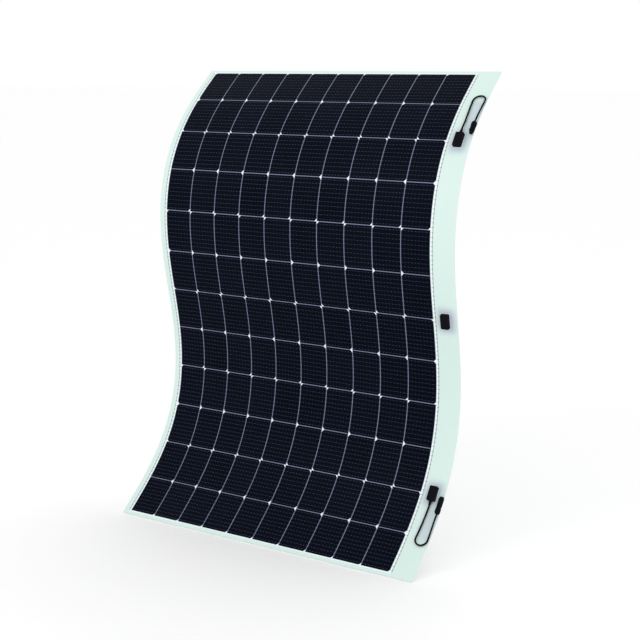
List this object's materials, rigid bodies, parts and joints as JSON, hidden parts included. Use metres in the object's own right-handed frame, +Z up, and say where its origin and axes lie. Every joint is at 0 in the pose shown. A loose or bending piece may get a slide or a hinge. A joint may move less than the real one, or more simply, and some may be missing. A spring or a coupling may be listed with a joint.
{
  "type": "flexible solar sheet",
  "caption": "Thin bendable solar sheet of half-cut cells in a pale laminate, held in an S-shaped curve, with slim junction boxes and short plug-ended leads along one edge.",
  "frame": {"origin": "on the rear face of the sheet, in the middle of the cell array", "axes": "+X across the sheet towards the wide edge with the junction boxes, front face towards -Y, +Z up"},
  "size_m": [1.0352, 0.5148, 1.3719],
  "materials": {
    "backsheet": "white fibre-reinforced polymer, satin",
    "encapsulant": "clear cross-linked film",
    "front_sheet": "clear fluoropolymer film with a fine embossed texture, pale mint over the white back",
    "cell": "near-black blue silicon with an anti-reflection coat and hair-thin grey ribbons",
    "ribbon": "tinned copper ribbon",
    "box": "black moulded plastic, fine texture",
    "diode": "black moulded component",
    "cable": "black double-insulated solar cable",
    "connector": "black moulded plug, satin"
  },
  "bodies": {
    "top": {"backsheet_top": "backsheet", "rear_encapsulant_top": "encapsulant", "front_encapsulant_top": "encapsulant", "front_sheet_top": "front_sheet", "bus_ribbon_left_top": "ribbon", "bus_ribbon_right_top": "ribbon", "cell_string_01": "cell", "cell_string_02": "cell", "cell_string_03": "cell", "junction_box_base_upper": "box", "junction_box_lid_upper": "box", "bypass_diode_upper": "diode", "cable_gland_upper": "box", "cable_upper": "cable", "connector_nut_upper": "connector", "connector_body_upper": "connector"},
    "upper": {"backsheet_upper": "backsheet", "rear_encapsulant_upper": "encapsulant", "front_encapsulant_upper": "encapsulant", "front_sheet_upper": "front_sheet", "bus_ribbon_left_upper": "ribbon", "bus_ribbon_right_upper": "ribbon", "cell_string_04": "cell", "cell_string_05": "cell"},
    "middle": {"backsheet_middle": "backsheet", "rear_encapsulant_middle": "encapsulant", "front_encapsulant_middle": "encapsulant", "front_sheet_middle": "front_sheet", "bus_ribbon_left_middle": "ribbon", "bus_ribbon_right_middle": "ribbon", "cell_string_06": "cell", "cell_string_07": "cell", "junction_box_base_middle": "box", "junction_box_lid_middle": "box", "bypass_diode_middle": "diode"},
    "lower": {"backsheet_lower": "backsheet", "rear_encapsulant_lower": "encapsulant", "front_encapsulant_lower": "encapsulant", "front_sheet_lower": "front_sheet", "bus_ribbon_left_lower": "ribbon", "bus_ribbon_right_lower": "ribbon", "cell_string_08": "cell", "cell_string_09": "cell"},
    "bottom": {"backsheet_bottom": "backsheet", "rear_encapsulant_bottom": "encapsulant", "front_encapsulant_bottom": "encapsulant", "front_sheet_bottom": "front_sheet", "bus_ribbon_left_bottom": "ribbon", "bus_ribbon_right_bottom": "ribbon", "cell_string_10": "cell", "cell_string_11": "cell", "cell_string_12": "cell", "junction_box_base_lower": "box", "junction_box_lid_lower": "box", "bypass_diode_lower": "diode", "cable_gland_lower": "box", "cable_lower": "cable", "connector_nut_lower": "connector", "connector_body_lower": "connector"}
  },
  "joints": [
    {"name": "top_bend", "type": "hinge", "parent": "upper", "child": "top", "pos_m": [0, -0.00313, 0.38443], "axis": [1, 0, 0], "range_deg": [-5, 35], "stiffness_Nm_per_rad": 100},
    {"name": "upper_bend", "type": "hinge", "parent": "middle", "child": "upper", "pos_m": [0, -0.02471, 0.12765], "axis": [1, 0, 0], "range_deg": [-15, 25], "stiffness_Nm_per_rad": 100},
    {"name": "lower_bend", "type": "hinge", "parent": "middle", "child": "lower", "pos_m": [0, 0.02213, -0.12799], "axis": [1, 0, 0], "range_deg": [-15, 25], "stiffness_Nm_per_rad": 100},
    {"name": "bottom_bend", "type": "hinge", "parent": "lower", "child": "bottom", "pos_m": [0, 0.00069, -0.38354], "axis": [1, 0, 0], "range_deg": [-5, 35], "stiffness_Nm_per_rad": 100}
  ]
}
